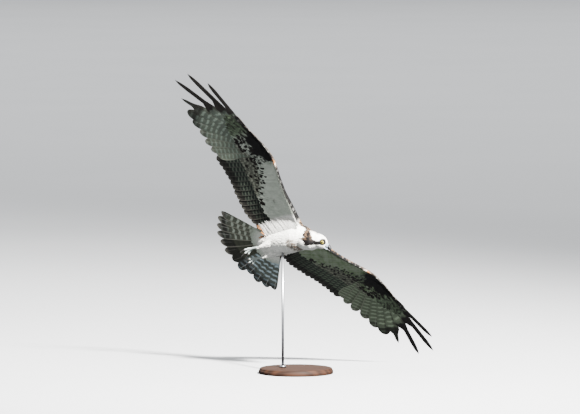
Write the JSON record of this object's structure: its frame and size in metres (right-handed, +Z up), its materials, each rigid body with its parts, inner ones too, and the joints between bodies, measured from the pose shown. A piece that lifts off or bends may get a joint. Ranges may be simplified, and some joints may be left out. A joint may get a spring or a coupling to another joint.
{
  "type": "osprey, life-size display model in flight",
  "caption": "Life-size osprey in a banked gliding turn, wings and tail spread, held over a flat round base by one upright rod.",
  "frame": {"origin": "centre of the round base's underside", "axes": "+Z up off the floor; the bird heads towards +X and -Y, climbing and banked to its left"},
  "size_m": [1.0096, 0.6013, 1.1745],
  "materials": {
    "body_plumage": "soft matt feathers, white with brown marks",
    "wing_feathers": "matt barred flight feathers and coverts",
    "tail_feathers": "matt barred tail feathers",
    "bill_horn": "smooth dark horn",
    "claw_horn": "polished black horn",
    "eye": "wet glossy yellow eye",
    "foot_skin": "scaly pale grey-green skin",
    "stand_wood": "satin dark wood",
    "stand_steel": "satin steel"
  },
  "bodies": {
    "root": {"bill_lower": "bill_horn", "bill_upper": "bill_horn", "claw_left_1": "claw_horn", "claw_left_2": "claw_horn", "claw_left_3": "claw_horn", "claw_left_4": "claw_horn", "claw_right_1": "claw_horn", "claw_right_2": "claw_horn", "claw_right_3": "claw_horn", "claw_right_4": "claw_horn", "eye_left": "eye", "eye_right": "eye", "foot_left": "foot_skin", "foot_right": "foot_skin", "head": "body_plumage", "leg_left": "body_plumage", "leg_right": "body_plumage", "neck": "body_plumage", "stand_base": "stand_wood", "stand_collar": "stand_steel", "stand_rod": "stand_steel", "tail": "tail_feathers", "torso": "body_plumage", "wing_left_arm": "wing_feathers", "wing_left_hand": "wing_feathers", "wing_right_arm": "wing_feathers", "wing_right_hand": "wing_feathers"}
  },
  "joints": []
}
